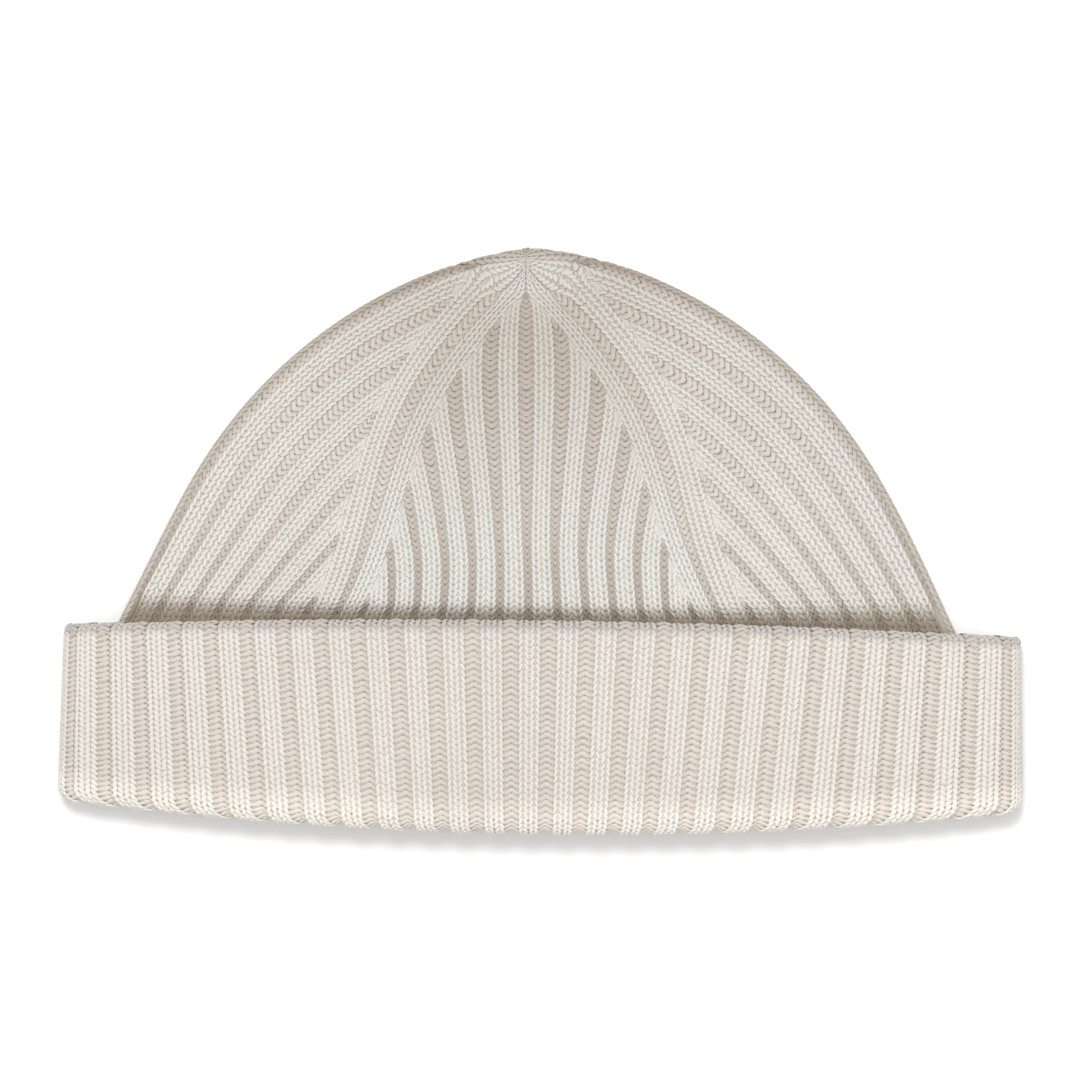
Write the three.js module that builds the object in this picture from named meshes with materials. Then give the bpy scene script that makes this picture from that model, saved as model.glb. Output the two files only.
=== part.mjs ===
// A rib-knit hat lying flat on its back with its lower edge turned up, in millimetres, +Z up.
// The cuff points along -Y, the crown along +Y. Both are hollow and open at the cuff's fold.
import * as THREE from 'three';

const { clamp, lerp, smoothstep, degToRad } = THREE.MathUtils;

// Fabric
const wallThickness = 3.2; // from the crest of a rib to the other face
const ribDepth = 1.2; // from crest to groove
const layerGap = 0.5; // between the cuff's two layers
const ribsPerHalfWedge = 7; // a wedge is a quarter of the hat

// Cuff
const cuffWidth = 232.2; // across the fold
const rimWidth = 230.4; // across the free rim
const cuffHeight = 51.1; // from fold to rim, in the middle
const rimSag = 2.8; // how much lower the rim lies at its ends
const foldRise = 6.4; // how much higher the fold lies at its ends
const bandHollow = 8; // room inside, in the middle
const bandHollowEnds = 3.2; // and at the ends
const cuffEndLength = 5; // how far the outer face's rounded ends reach in
const hollowEndLength = 1.9; // the same, inside
const cuffFlatPower = 3; // how evenly thick the cuff stays towards its ends
const cuffTilt = 0.8; // degrees that the cuff is turned clockwise from the crown
const ribLean = 3.6; // how far the ribs lean to the middle on their way down
const ribTurnShare = 0.36; // share of a rib that the band is turned to the left in front
const ribSwingShare = 0.5; // share of a rib that has gone from the front to the back at each end
const rimRound = 1.6; // length of the rounded edge at the rim

// Crown
const crownWidth = 200.2; // where it comes out of the cuff
const crownRise = 89.4; // from there to the top of the outline
const crownOverlap = 8; // how far it reaches down behind the cuff
const seamGap = 0.3; // between its lower edge and the cuff's inner layer
const crownShift = -1.3; // its outline's axis from the cuff's middle
const edgeHollow = 0.3; // room inside the folded side edge
const edgeRibShare = 0.7; // from the side wedge's middle back to the fold, as a share of a rib
const lineSpread = 46.4; // from the front wedge's middle to a decrease line, at the cuff
const lineShift = -2.1; // the front wedge's middle from the outline's axis, at the cuff
const tipShift = -2.4; // and at the tip
const tipRoll = 3.6; // how far the tip has rolled over the nose to the front
const tipReach = 12; // how wide that roll spreads
const tipDimple = 1; // depth of the gathered tip
const pleatShare = 0.6; // of ribDepth, left where the ribs gather

// Shares of the crown's rise
const decreaseStartShare = 0.107;
const decreaseEndShare = 0.886;
const backDownShare = 0.22; // from here on the back lies on the surface
const untiltedShare = 0.25; // from here on the crown stands straight
const gatherShares = [0.93, 0.965, 0.988];

// Outline of the crown: a straight taper mixed with a rounded shoulder
const outlineTaperShare = 0.43;
const outlineSwellShare = 0.009; // and a little fuller half way up
const outlineSquarePower = 3.3;
const outlineShoulderPower = 0.55;
const outlineSteps = 60;

// Decrease lines: straight to the tip, with a swelling of this share that is highest above the middle
const lineSwellShare = 0.52;
const lineSwellPower = 2.2;

// Section of the crown: how fast it swells from its edge, at the cuff and higher up
const swellPowerAtCuff = 4;
const swellPowerAbove = 2.2;
const swellChangeShare = 0.3; // share of the rise by which it has changed
const swellFadePower = 3; // how late the front comes down towards the tip

// Corners across one rib, from one groove to the next
const crownRib = [
  { place: 0, depth: ribDepth },
  { place: 0.2, depth: 0 },
  { place: 0.8, depth: 0 },
];
const foldedCrownRib = [
  { place: 0, depth: ribDepth },
  { place: 0.2, depth: 0 },
  { place: edgeRibShare - 0.25, depth: 0 },
  { place: edgeRibShare, depth: 0 },
  { place: edgeRibShare + 0.15, depth: 0 },
];
const cuffRib = [
  { place: 0, depth: ribDepth },
  { place: 0.23, depth: 0 },
  { place: 0.77, depth: 0 },
];
const innerRib = [
  { place: 0, depth: ribDepth },
  { place: 0.5, depth: 0 },
];
const plainRib = [{ place: 0, depth: 0 }];
const foldedPlainRib = [...plainRib, { place: edgeRibShare, depth: 0 }];

// Sizes that follow
const ribCount = 8 * ribsPerHalfWedge;
const quarterRibs = 2 * ribsPerHalfWedge;
const cuffStack = 2 * wallThickness + layerGap;
const cuffThickness = 2 * cuffStack + bandHollow;
const cuffEndThickness = 2 * cuffStack + bandHollowEnds;
const edgeRadius = wallThickness + edgeHollow;
const crownLift = wallThickness + layerGap;
const crownTop = cuffThickness - wallThickness - layerGap;
const rimY = cuffHeight / 2;
const foldY = -cuffHeight / 2;
const seamY = rimY - crownOverlap;

const outer = { half: crownWidth / 2, base: rimY, rise: crownRise, edge: edgeRadius };
const inner = {
  half: outer.half - wallThickness,
  base: rimY,
  rise: crownRise - wallThickness,
  edge: edgeHollow,
};

// Turns a place in the XY plane clockwise about the cuff's middle
function turned(place, degrees) {
  return place.rotateAround(new THREE.Vector2(0, 0), -degToRad(degrees));
}

// Solid from rings of corners, each ring going round the hat. A ring of one corner is a pointed end,
// and without pointed ends the last ring meets the first.
function solid(rings) {
  const positions = [];
  const faces = [];
  const placed = rings.map((ring) =>
    ring.map(({ turn, point }) => {
      positions.push(point.x, point.y, point.z);
      return { turn, index: positions.length / 3 - 1 };
    }),
  );
  const strips = placed[0].length > 1 ? placed.length : placed.length - 1;
  for (let i = 0; i < strips; i += 1) {
    joinRings(faces, placed[i], placed[(i + 1) % placed.length]);
  }
  const geometry = new THREE.BufferGeometry();
  geometry.setAttribute('position', new THREE.Float32BufferAttribute(positions, 3));
  geometry.setIndex(faces);
  geometry.computeVertexNormals();
  return geometry;
}

// Triangles between two rings, which may have different numbers of corners
function joinRings(faces, a, b) {
  const turnOf = (ring, i) => ring[i % ring.length].turn + Math.floor(i / ring.length);
  const indexOf = (ring, i) => ring[i % ring.length].index;
  let i = 0;
  let j = 0;
  while (i < a.length || j < b.length) {
    const fromA = i < a.length && (j >= b.length || turnOf(a, i + 1) <= turnOf(b, j + 1));
    const third = fromA ? indexOf(a, i + 1) : indexOf(b, j + 1);
    const same = third === (fromA ? indexOf(a, i) : indexOf(b, j));
    if (!same) faces.push(indexOf(a, i), third, indexOf(b, j));
    if (fromA) i += 1;
    else j += 1;
  }
}

// Crown

function outlineHalf(size, share) {
  const above = Math.max(share, 0);
  const round = (1 - above ** outlineSquarePower) ** outlineShoulderPower;
  const swelling = outlineSwellShare * Math.sin(Math.PI * above) ** 2;
  return size.half * (outlineTaperShare * (1 - share) + (1 - outlineTaperShare) * round + swelling);
}

// The silhouette from the left side of the cuff over the top to the right side
function outlineCurve(size) {
  const points = [];
  for (let i = -outlineSteps; i <= outlineSteps; i += 1) {
    const share = Math.sin((Math.PI / 2) * (1 - Math.abs(i) / outlineSteps));
    points.push(new THREE.Vector2(Math.sign(i) * outlineHalf(size, share), size.base + share * size.rise));
  }
  const curve = new THREE.SplineCurve(points);
  curve.arcLengthDivisions = 8 * outlineSteps;
  return curve;
}

outer.outline = outlineCurve(outer);
inner.outline = outlineCurve(inner);

// Ribs left in half a wedge at a share of the rise
function ribsLeft(v) {
  const done = clamp((v - decreaseStartShare) / (decreaseEndShare - decreaseStartShare), 0, 1);
  return lerp(ribsPerHalfWedge, 1, done);
}

// Where a row crosses the side fold, the decrease line and the wedge's middle, seen from above
function rowGuides(size, v, side) {
  const y = size.base + v * size.rise;
  const middle = new THREE.Vector2(lerp(lineShift, tipShift, clamp(v, 0, 1)), y);
  const scale = size.half / outer.half;
  const swelling = 1 + lineSwellShare * Math.sin(Math.PI * Math.max(v, 0) ** lineSwellPower);
  const fall = v < 0 ? outlineHalf(size, v) / size.half : (1 - v) * swelling;
  const line = new THREE.Vector2(middle.x + side * lineSpread * scale * fall, y);
  if (v < 0) {
    return { middle, line, fold: new THREE.Vector2(side * outlineHalf(size, v), y) };
  }
  const tip = 0.5 + tipShift / size.outline.getLength();
  const along = side < 0 ? v * tip : 1 - v * (1 - tip);
  return { middle, line, fold: size.outline.getPointAt(along) };
}

// Length around the rounded edge for a distance in from it, and back
function aroundEdge(radius, distance) {
  if (distance < radius) return radius * Math.acos(1 - distance / radius);
  return radius * (Math.PI / 2 - 1) + distance;
}

function inFromEdge(radius, length) {
  if (length < (radius * Math.PI) / 2) return radius * (1 - Math.cos(length / radius));
  return length - radius * (Math.PI / 2 - 1);
}

// A point of the crown's outer or inner face, moved into the wall by depth. zone 0 is the front wedge, 1 and
// 2 the front and the back of a side wedge, and 3 the back wedge; rib counts from that wedge's middle.
function crownPoint(size, v, side, zone, rib, depth) {
  const count = ribsLeft(v);
  const { middle, line, fold } = rowGuides(size, v, side);
  const sideLength = fold.distanceTo(line);
  const rowLength = sideLength + line.distanceTo(middle);
  const foldRib = edgeRibShare * Math.min(1, count / 2);
  const place = new THREE.Vector2();
  let front = zone < 2;
  let edge = sideLength;
  let along;
  if (zone === 0 || zone === 3) {
    place.lerpVectors(middle, line, rib / count);
    along = sideLength + place.distanceTo(line);
  } else {
    const fromFold = zone === 1 ? rib + foldRib : foldRib - rib;
    front = fromFold >= 0;
    const share = front ? fromFold / (count + foldRib) : -fromFold / (count - foldRib);
    edge = inFromEdge(size.edge, share * aroundEdge(size.edge, sideLength));
    place.lerpVectors(fold, line, edge / Math.max(sideLength, edge, 1e-6));
    along = edge;
  }
  const lift = crownLift * (1 - smoothstep(v, 0, backDownShare));
  const mid = lift + edgeRadius;
  const noseHeight = 2 * edgeRadius;
  const top = lerp(noseHeight, crownTop, 1 - Math.max(v, 0) ** swellFadePower);
  const swell = lerp(swellPowerAtCuff, swellPowerAbove, smoothstep(v, 0, swellChangeShare));
  const bulge = (top - mid - edgeRadius) * (1 - (1 - Math.min(along / rowLength, 1)) ** swell);

  const fromTip = Math.hypot(place.x - middle.x, size.base + size.rise - place.y);
  const roll = tipRoll * Math.exp(-((fromTip / tipReach) ** 2));
  const length = (front ? 1 : -1) * aroundEdge(size.edge, edge) + roll;
  const newEdge = inFromEdge(size.edge, Math.abs(length));
  const up = length >= 0 ? 1 : -1;
  place.y += edge - newEdge;

  const out = new THREE.Vector2().subVectors(fold, line);
  if (out.length() < 0.01) out.set(0, 1);
  out.normalize();
  const level = clamp(1 - newEdge / size.edge, 0, 1);
  const upright = Math.sqrt(1 - level * level);
  place.addScaledVector(out, -depth * level);
  place.x += crownShift;
  turned(place, cuffTilt * (1 - smoothstep(v, 0, untiltedShare)));
  const z = mid + up * size.edge * upright + (front ? bulge : 0) - up * depth * upright;
  return new THREE.Vector3(place.x, place.y, z);
}

// Corners across half a wedge at one row, from the wedge's middle to the decrease line.
// The ribs next to the line narrow and end where the band along the line has reached them.
function halfWedge(v, rib, firstRib) {
  const count = ribsLeft(v);
  const last = ribsPerHalfWedge - 1;
  const corners = [{ at: 0, rib: 0, depth: rib[0].depth }];
  for (let i = 0; i < last; i += 1) {
    const width = clamp(count - 1 - i, 0, 1);
    if (width > 0) {
      (i === 0 ? firstRib : rib).forEach(({ place, depth }) => {
        corners.push({ at: i + place, rib: i + place * width, depth });
      });
    }
  }
  (count > 1 ? rib : firstRib).forEach(({ place, depth }) => {
    corners.push({ at: last + place, rib: count - 1 + place, depth });
  });
  corners.push({ at: ribsPerHalfWedge, rib: count, depth: rib[0].depth });
  return corners.filter((corner, i) => i === 0 || corner.rib > corners[i - 1].rib);
}

function crownRing(size, v, rib, foldedRib) {
  const ring = [];
  const pleats = lerp(pleatShare, 1, clamp((1 - v) / (1 - decreaseEndShare), 0, 1));
  for (const side of [1, -1]) {
    for (const step of [0, 1, 2, 3]) {
      const zone = side > 0 ? step : 3 - step;
      const corners = halfWedge(v, rib, zone === 2 ? foldedRib : rib);
      const rises = (side > 0) === (zone % 2 === 0);
      if (!rises) corners.reverse();
      const start = ribsPerHalfWedge * (side > 0 ? step : step + 4);
      for (const corner of corners.slice(0, -1)) {
        const at = rises ? corner.at : ribsPerHalfWedge - corner.at;
        ring.push({
          turn: (start + at) / ribCount,
          point: crownPoint(size, v, side, zone, corner.rib, corner.depth * pleats),
        });
      }
    }
  }
  return ring;
}

function crownRows() {
  const rows = [-crownOverlap / crownRise, 0, decreaseStartShare / 2];
  const steps = 2 * (ribsPerHalfWedge - 1);
  for (let i = 0; i <= steps; i += 1) {
    rows.push(lerp(decreaseStartShare, decreaseEndShare, i / steps));
  }
  return [...rows, ...gatherShares];
}

// Rows of the inner face: every second one, and the lower edge at the same height as the outer face's
function innerRows(rows) {
  const kept = rows.filter((v, i) => i < 2 || i % 2 === 1);
  return kept.map((v) => (v < 0 ? (v * outer.rise) / inner.rise : v));
}

function makeCrown() {
  const rows = crownRows();
  const tip = (size, depth) => [{ turn: 0, point: crownPoint(size, 1, 1, 0, 0, depth) }];
  return solid([
    tip(inner, 0),
    ...innerRows(rows).reverse().map((v) => crownRing(inner, v, plainRib, foldedPlainRib)),
    ...rows.map((v) => crownRing(outer, v, crownRib, foldedCrownRib)),
    tip(outer, tipDimple),
  ]);
}

// Cuff

// A point of the flattened loop that a layer makes seen along Y. rib counts from the middle of the front.
function loopPoint(rib, size) {
  const quarter = Math.floor(rib / quarterRibs) % 4;
  const share = (rib % quarterRibs) / quarterRibs;
  const toEnd = quarter % 2 === 0 ? share : 1 - share;
  const right = quarter < 2 ? 1 : -1;
  const up = quarter === 0 || quarter === 3 ? 1 : -1;
  const straight = size.half - size.end;
  const high = (size.high - size.low) / 2;
  // Ramanujan's length of a quarter ellipse
  const mean = Math.sqrt((3 * size.end + high) * (size.end + 3 * high));
  const around = (Math.PI / 4) * (3 * (size.end + high) - mean);
  const length = toEnd * (straight + around);
  const angle = (Math.PI / 2) * clamp((length - straight) / around, 0, 1);
  const x = Math.min(length, straight) + size.end * Math.sin(angle);
  const crowning = up > 0 ? bandHollow - bandHollowEnds : 0;
  const rise = crowning * (1 - Math.min(x / straight, 1) ** cuffFlatPower);
  const z = (size.high + size.low) / 2 + up * high * Math.cos(angle) + rise;
  return new THREE.Vector2(right * x, z);
}

// A point of the cuff's profile. angle is 0 on the turned-up layer, half a turn on the layer inside it and
// between them around the fold. reach is the radius around the fold, and up the share of the height above it.
function cuffPoint(rib, angle, reach, up, top) {
  const fold = cuffStack / 2;
  const depth = fold - reach * Math.cos(angle);
  const inside = angle > Math.PI / 2;
  const widest = inside ? outlineHalf(outer, -crownOverlap / crownRise) + crownLift : rimWidth / 2;
  const half = lerp(cuffWidth / 2, widest, up) - depth;
  const lean = (ribLean * (1 - up) * ribCount) / (2 * (cuffWidth + cuffThickness));
  const slid = rib - ribTurnShare + ribSwingShare * Math.sin((2 * Math.PI * rib) / ribCount);
  const leaning = slid - lean * Math.sin((Math.PI * slid) / quarterRibs);
  const place = loopPoint((leaning + ribCount) % ribCount, {
    half,
    end: lerp(cuffEndLength, hollowEndLength, depth / cuffStack),
    low: depth,
    high: cuffEndThickness - depth,
  });
  const toEnd = (place.x / (cuffWidth / 2)) ** 2;
  const bottom = foldY + foldRise * toEnd + fold;
  const highest = inside ? top : top - rimSag * toEnd;
  const y = up > 0 ? lerp(bottom, highest, up) : bottom - reach * Math.sin(angle);
  const seen = turned(new THREE.Vector2(place.x, y), cuffTilt);
  return new THREE.Vector3(seen.x, seen.y, place.y);
}

function cuffRing(rib, angle, radius, up, top) {
  const ring = [];
  for (let i = 0; i < ribCount; i += 1) {
    for (const { place, depth } of rib) {
      const at = (i + place + 0.5) % ribCount;
      ring.push({ turn: at / ribCount, point: cuffPoint(at, angle, radius - depth, up, top) });
    }
  }
  return ring.sort((a, b) => a.turn - b.turn);
}

function makeCuff() {
  const fold = cuffStack / 2;
  const gap = layerGap / 2;
  const shoulder = wallThickness / 2;
  const inside = Math.PI;
  const turns = [0, 1, 2, 3, 4, 5, 6].map((step) => (step * Math.PI) / 6);
  const aroundFold = turns.map((angle, i) => cuffRing(i > 3 ? innerRib : cuffRib, angle, fold, 0, rimY));
  return solid([
    cuffRing(plainRib, 0, gap, 0, rimY),
    cuffRing(plainRib, inside, gap, 0, seamY - seamGap),
    cuffRing(plainRib, inside, gap, 1, seamY - seamGap),
    cuffRing(innerRib, inside, fold, 1, seamY - seamGap),
    cuffRing(innerRib, inside, fold, 0.5, seamY - seamGap),
    ...aroundFold.reverse(),
    cuffRing(cuffRib, 0, fold, 0.5, rimY - rimRound),
    cuffRing(cuffRib, 0, fold, 1, rimY - rimRound),
    cuffRing(cuffRib, 0, gap + shoulder + ribDepth / 2, 1, rimY),
    cuffRing(plainRib, 0, gap, 1, rimY - rimRound),
  ]);
}

// The hat

function piece(name, geometry, colour) {
  const material = new THREE.MeshStandardMaterial({ color: colour, roughness: 0.95, metalness: 0 });
  const mesh = new THREE.Mesh(geometry, material);
  mesh.name = name;
  return mesh;
}

const hat = new THREE.Group();
hat.add(piece('cuff', makeCuff(), '#e6dccb'), piece('crown', makeCrown(), '#e9e1d3'));

// The origin is the middle of the bottom of the whole hat
const box = new THREE.Box3().setFromObject(hat);
const middle = box.getCenter(new THREE.Vector3());
hat.position.set(-middle.x, -middle.y, -box.min.z);

export default hat;
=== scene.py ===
import math

import bmesh
import bpy
import numpy as np
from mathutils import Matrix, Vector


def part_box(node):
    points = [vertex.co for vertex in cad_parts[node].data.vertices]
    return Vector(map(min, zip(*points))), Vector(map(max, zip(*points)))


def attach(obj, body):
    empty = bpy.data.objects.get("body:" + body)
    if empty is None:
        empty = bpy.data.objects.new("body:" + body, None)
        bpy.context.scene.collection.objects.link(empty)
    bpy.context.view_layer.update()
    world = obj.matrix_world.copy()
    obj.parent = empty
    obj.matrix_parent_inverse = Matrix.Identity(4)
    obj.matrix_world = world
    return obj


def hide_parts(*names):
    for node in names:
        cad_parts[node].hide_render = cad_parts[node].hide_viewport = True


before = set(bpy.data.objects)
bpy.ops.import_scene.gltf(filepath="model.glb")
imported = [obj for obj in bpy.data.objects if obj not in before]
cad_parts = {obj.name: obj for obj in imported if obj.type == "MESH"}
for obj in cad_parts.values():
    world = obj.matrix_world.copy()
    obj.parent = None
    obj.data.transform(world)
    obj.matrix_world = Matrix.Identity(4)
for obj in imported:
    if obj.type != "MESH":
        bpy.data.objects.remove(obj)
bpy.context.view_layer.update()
print("frame loaded")

mm = 0.001
rng = np.random.default_rng(56)

# What cuff and crown share. Main forms follow the frame's solids, and only the low relief departs from them.
hat = {
    "wall": 3.2 * mm,
    "groove": 0.95 * mm,  # depth between the ribs, from the crest of a rib
    "layerGap": 0.5 * mm,
    "seamGap": 0.3 * mm,  # between the cuff's inner layer and the crown
    "hollow": 8 * mm,  # height of the room for the head, in the middle of the cuff
    "cuffHeight": 51.1 * mm,
    "tilt": 0.8,  # degrees
    "ribs": 56,
    "halfWedgeRibs": 7,
    "yarn": 1.15 * mm,  # thickness of the yarn
    "loose": 0.04,  # share of a row that stitches stray along their column
    "backing": 0.52 * mm,  # how far the fabric behind the stitches lies below the crest
}

stack = 2 * hat["wall"] + hat["layerGap"]  # the two layers of the turned-up cuff
cuffThickness = 2 * stack + hat["hollow"]
crownLift = hat["wall"] + hat["layerGap"]
rimY = hat["cuffHeight"] / 2
foldY = -rimY


def mix(a, b, t):
    return a + (b - a) * t


def eased(x, low, high):
    t = np.clip((x - low) / (high - low), 0, 1)
    return t * t * (3 - 2 * t)


def turned(x, y, degrees):  # clockwise about the cuff's middle
    angle = np.radians(degrees)
    return x * np.cos(angle) + y * np.sin(angle), y * np.cos(angle) - x * np.sin(angle)


crown = {
    "width": 200.2 * mm,
    "rise": 89.4 * mm,
    "overlap": 8 * mm,  # behind the cuff's rim
    "shift": -1.3 * mm,
    "edgeHollow": 0.3 * mm,  # radius of the inner face at the side folds
    "edgeRib": 0.5,  # ribs from the middle of a side wedge to its fold
    "lineSpread": 46.4 * mm,  # from the wedge's middle to the decrease line, at the cuff
    "lineShift": -2.1 * mm,
    "tipShift": -2.4 * mm,
    "tipRoll": 3.6 * mm,
    "tipReach": 12 * mm,
    "pleats": 0.6,  # share of the grooves' depth left at the tip
    "decreaseStart": 0.035,  # shares of the rise
    "decreaseEnd": 0.91,
    "groovesFade": 0.856,  # share of the rise where the purl grooves start to close
    "groovesEnd": 0.906,
    "unevenRibs": 0.027,  # how much wider the ribs are in the middle of a wedge, at the cuff
    "evenRibs": 0.2,  # share of the rise where they are even again
    "backDown": 0.22,  # and where the back lies on the surface
    "untilted": 0.25,  # and where the cuff's tilt has gone
    "taper": 0.43,  # 1 for a triangle, 0 for a dome
    "swell": 0.009,
    "outlineSquare": 3.3,
    "outlineShoulder": 0.55,
    "lineSwell": 0.52,
    "lineSwellPower": 2.2,
    "swellPowerLow": 4,
    "swellPowerHigh": 2.2,
    "swellChange": 0.3,
    "swellFade": 3,  # how late the front comes down on its way to the tip
    "knitShareLow": 0.79,  # of a rib's pitch, at the cuff
    "knitShareHigh": 0.62,  # and higher up
    "knitShareFrom": 0.05,  # shares of the rise between which it changes
    "knitShareTo": 0.5,
    "narrowest": 0.07,  # of a rib's pitch, the narrowest groove that has purl stitches
    "bandCover": 0.45,  # of a knit rib's width, how far a column runs on under the band
    "flattest": 0.3,  # of their depth that the narrowest stitches keep
    "fullWidth": 2.3 * mm,  # of a stitch that keeps all its depth
    "row": 1.5 * mm,  # height of a stitch
    "sideRow": 1.2 * mm,  # and in the side wedges, before they are stretched along the outline
    "hiddenRows": 0.045,  # share of the rise that stitches are made behind the cuff's rim
    "lastRow": 0.9 * mm,  # from the tip
    "crease": 0.5 * mm,  # depth of the creases that meet at the tip
    "creaseWidth": 0.3,  # in ribs
    "creaseStart": 0.86,
    "creaseEnd": 0.92,
    "grooveSlope": 0.1,  # in ribs, how far a groove's sides reach past its edges
    "dip": 1.7 * mm,  # how far the front goes down at the cuff's rim
    "dipReach": 4.5 * mm,
    "tipShade": 0.38,
    "tipShadeFrom": 0.2,  # shares of the rise between which it grows
    "tipShadeTo": 0.8,
    "tipLight": 0.7,  # how much of it is gone again at the very tip
    "sideShade": 0.3,  # share of the tip's shade in the side wedges, low on the crown
    "sideShadeFrom": 0.55,
    "sideShadeTo": 0.95,
    "innerShade": 0.22,  # of the purl grooves in the front and back wedges
    "sideWarmth": 0.3,
    "grooveShade": 0.24,  # of the purl grooves near the cuff
    "grooveShadeFrom": 0.05,
    "grooveShadeTo": 0.4,
    "edgeShade": 0.55,  # at the side fold, where the fabric turns away
    "edgeShadeFull": 0.95,  # turned outwards so far, it is all there
    "lowGrooves": 0.5,  # how much deeper the grooves are at the cuff, as a share
    "lowGrooveEnd": 0.45,
}

edgeRadius = hat["wall"] + crown["edgeHollow"]
crownTop = cuffThickness - hat["wall"] - hat["layerGap"]
outlineSteps = 400  # on each side of the tip


def outlineHalf(half, share):
    above = np.clip(share, 0, 1)
    rounded = (1 - above ** crown["outlineSquare"]) ** crown["outlineShoulder"]
    swelling = crown["swell"] * np.sin(np.pi * above) ** 2
    return half * (mix(1 - share, rounded, 1 - crown["taper"]) + swelling)


def crownFace(inset, edge):
    half = crown["width"] / 2 - inset
    rise = crown["rise"] - inset
    share = np.sin(np.linspace(0, np.pi, 2 * outlineSteps + 1))
    side = np.sign(np.arange(-outlineSteps, outlineSteps + 1))
    x = side * outlineHalf(half, share)
    y = rimY + share * rise
    length = np.concatenate(([0], np.cumsum(np.hypot(np.diff(x), np.diff(y)))))
    return {"half": half, "rise": rise, "edge": edge, "x": x, "y": y, "length": length}


outerFace = crownFace(0, edgeRadius)
innerFace = crownFace(hat["wall"], crown["edgeHollow"])


def ribsLeft(v):
    done = np.clip((v - crown["decreaseStart"]) / (crown["decreaseEnd"] - crown["decreaseStart"]), 0, 1)
    return mix(hat["halfWedgeRibs"], 1, done)


def aroundEdge(radius, distance):
    near = radius * np.arccos(np.clip(1 - distance / radius, -1, 1))
    return np.where(distance < radius, near, radius * (np.pi / 2 - 1) + distance)


def inFromEdge(radius, length):
    near = radius * (1 - np.cos(length / radius))
    return np.where(length < radius * np.pi / 2, near, length - radius * (np.pi / 2 - 1))


# Where a row crosses the wedge's middle, the decrease line and the side fold
def rowGuides(face, v, side):
    y = rimY + v * face["rise"]
    above = np.clip(v, 0, 1)
    half = outlineHalf(face["half"], v)
    middle = mix(crown["lineShift"], crown["tipShift"], above)
    swelling = 1 + crown["lineSwell"] * np.sin(np.pi * above ** crown["lineSwellPower"])
    fall = np.where(v < 0, half / face["half"], (1 - above) * swelling)
    line = middle + side * crown["lineSpread"] * face["half"] / outerFace["half"] * fall
    whole = face["length"][-1]
    tip = 0.5 + crown["tipShift"] / whole
    along = np.where(side < 0, above * tip, 1 - above * (1 - tip)) * whole
    foldX = np.where(v < 0, side * half, np.interp(along, face["length"], face["x"]))
    foldY = np.where(v < 0, y, np.interp(along, face["length"], face["y"]))
    return middle, y, line, foldX, foldY


# zone 0 is the front wedge, 1 and 2 the front and back of a side wedge, 3 the back wedge.
# The second result is how far the fabric has turned outwards, 1 at the side fold.
def crownPlace(face, v, side, zone, rib, depth):
    count = ribsLeft(v)
    over = rib > count  # past the decrease line, in the wedge beside it
    zone = np.where(over, zone ^ 1, zone)
    rib = np.where(over, 2 * count - rib, rib)
    middle, rowY, line, foldX, foldY = rowGuides(face, v, side)
    sideLength = np.hypot(foldX - line, foldY - rowY)
    rowLength = np.maximum(sideLength + abs(line - middle), 1e-6)
    foldRib = crown["edgeRib"] * np.minimum(1, count / 2)
    level = (zone == 0) | (zone == 3)
    fromFold = np.where(zone == 1, rib + foldRib, foldRib - rib)
    front = np.where(level, zone == 0, fromFold >= 0)
    share = np.where(fromFold >= 0, fromFold / (count + foldRib), -fromFold / (count - foldRib))
    around = inFromEdge(face["edge"], share * aroundEdge(face["edge"], sideLength))
    edge = np.where(level, sideLength, around)
    t = edge / np.maximum(np.maximum(sideLength, edge), 1e-9)
    uneven = crown["unevenRibs"] * (1 - eased(v, 0, crown["evenRibs"]))
    across = rib / count + uneven * np.sin(np.pi * rib / count)
    x = np.where(level, mix(middle, line, across), mix(foldX, line, t))
    y = np.where(level, rowY, mix(foldY, rowY, t))
    along = np.where(level, sideLength + abs(x - line), edge)

    mid = crownLift * (1 - eased(v, 0, crown["backDown"])) + edgeRadius
    top = mix(2 * edgeRadius, crownTop, 1 - np.clip(v, 0, 1) ** crown["swellFade"])
    power = mix(crown["swellPowerLow"], crown["swellPowerHigh"], eased(v, 0, crown["swellChange"]))
    bulge = (top - mid - edgeRadius) * (1 - (1 - np.minimum(along / rowLength, 1)) ** power)

    fromTip = np.hypot(x - middle, rimY + face["rise"] - y)
    roll = crown["tipRoll"] * np.exp(-((fromTip / crown["tipReach"]) ** 2))
    length = np.where(front, 1, -1) * aroundEdge(face["edge"], edge) + roll
    newEdge = inFromEdge(face["edge"], abs(length))
    up = np.where(length >= 0, 1, -1)
    y = y + edge - newEdge

    outX, outY = foldX - line, foldY - rowY
    size = np.hypot(outX, outY)
    small = size < 1e-5
    outX = np.where(small, 0, outX / np.maximum(size, 1e-5))
    outY = np.where(small, 1, outY / np.maximum(size, 1e-5))
    outward = np.clip(1 - newEdge / face["edge"], 0, 1)
    upright = np.sqrt(1 - outward**2)
    x = x - outX * depth * outward + crown["shift"]
    y = y - outY * depth * outward
    x, y = turned(x, y, hat["tilt"] * (1 - eased(v, 0, crown["untilted"])))
    z = mid + up * face["edge"] * upright + np.where(front, bulge, 0) - up * depth * upright
    return np.stack([x, y, z], axis=-1), outward


def crownPoint(face, v, side, zone, rib, depth):
    return crownPlace(face, v, side, zone, rib, depth)[0]


def crownKnitShare(v):
    risen = eased(v, crown["knitShareFrom"], crown["knitShareTo"])
    share = mix(crown["knitShareLow"], crown["knitShareHigh"], risen)
    return mix(share, 1, eased(v, crown["groovesFade"], crown["groovesEnd"]))


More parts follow.
